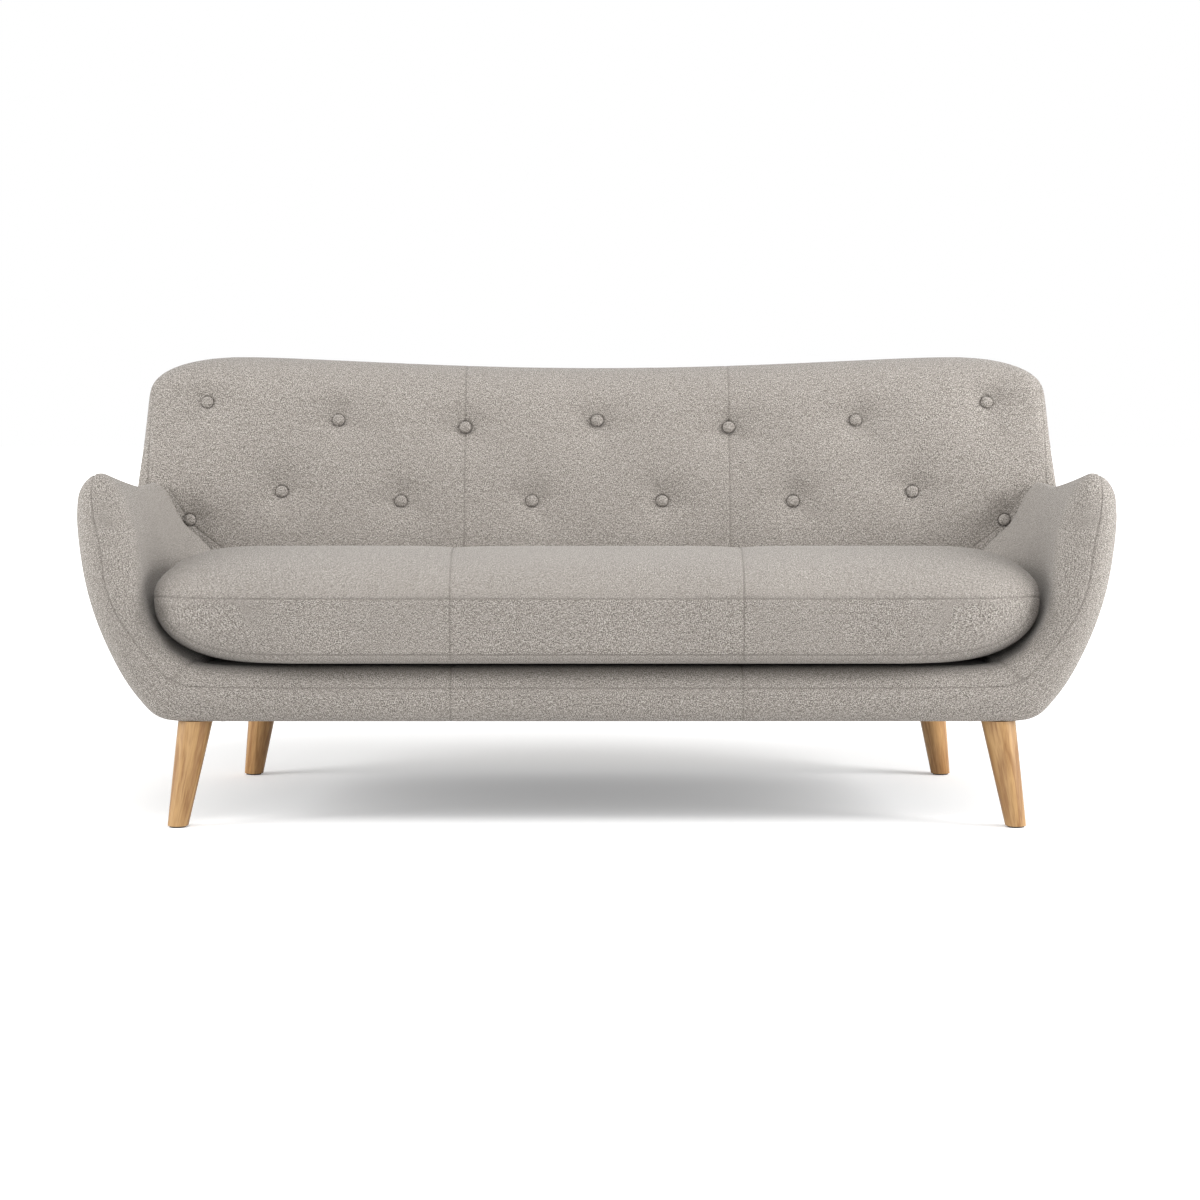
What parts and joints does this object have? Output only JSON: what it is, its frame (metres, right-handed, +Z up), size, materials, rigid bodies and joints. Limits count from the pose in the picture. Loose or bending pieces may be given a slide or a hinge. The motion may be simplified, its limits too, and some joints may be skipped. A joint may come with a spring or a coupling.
{
  "type": "three-seat sofa",
  "caption": "Upholstered three-seat sofa with curved arms, a button-tufted raked back, one loose bench cushion and splayed round wooden legs.",
  "frame": {"origin": "on the floor, at the middle of the overall bounding box", "axes": "+X to the right as seen from the front, along the length; +Y from the front to the back; +Z up"},
  "size_m": [1.8624, 0.82, 0.8257],
  "materials": {
    "upholstery_fabric": "beige-grey melange weave, matt",
    "oak_legs": "light oak, satin lacquer",
    "frame_timber": "planed softwood",
    "plywood": "bare plywood",
    "spring_steel": "oiled spring wire",
    "zinc_steel": "zinc plated",
    "glide_plastic": "dark brown nylon",
    "lining_cloth": "black non-woven lining",
    "webbing": "black elastic webbing",
    "deck_cloth": "dark grey deck cloth",
    "foam": "cream foam"
  },
  "bodies": {
    "frame": {"front_rail": "frame_timber", "rear_rail": "frame_timber", "side_rail_left": "frame_timber", "side_rail_right": "frame_timber", "cross_rail_left": "frame_timber", "cross_rail_right": "frame_timber", "corner_blocks": "frame_timber", "back_post_left": "frame_timber", "back_post_right": "frame_timber", "back_mid_posts": "frame_timber", "back_top_rail": "plywood", "back_lumbar_rail": "plywood", "back_wing_left": "plywood", "back_wing_right": "plywood", "back_webbing": "webbing", "arm_frame_left": "plywood", "arm_frame_right": "plywood", "seat_springs": "spring_steel", "spring_clips": "spring_steel", "seat_deck_pad": "deck_cloth", "front_roll": "upholstery_fabric", "arm_left": "upholstery_fabric", "arm_right": "upholstery_fabric", "side_pad_left": "upholstery_fabric", "side_pad_right": "upholstery_fabric", "back_cushion": "upholstery_fabric", "outside_back": "upholstery_fabric", "dust_cover": "lining_cloth", "back_buttons": "upholstery_fabric", "leg_front_left": "oak_legs", "leg_front_right": "oak_legs", "leg_rear_left": "oak_legs", "leg_rear_right": "oak_legs", "leg_plates": "zinc_steel", "plate_screws": "zinc_steel", "leg_bolts": "zinc_steel", "foot_glides": "glide_plastic"},
    "seat_cushion": {"seat_cushion": "upholstery_fabric", "seat_foam_core": "foam"}
  },
  "joints": [
    {"name": "seat_cushion_lift", "type": "slide", "parent": "frame", "child": "seat_cushion", "axis": [0, 0, 1], "range_m": [0, 0.56]}
  ]
}
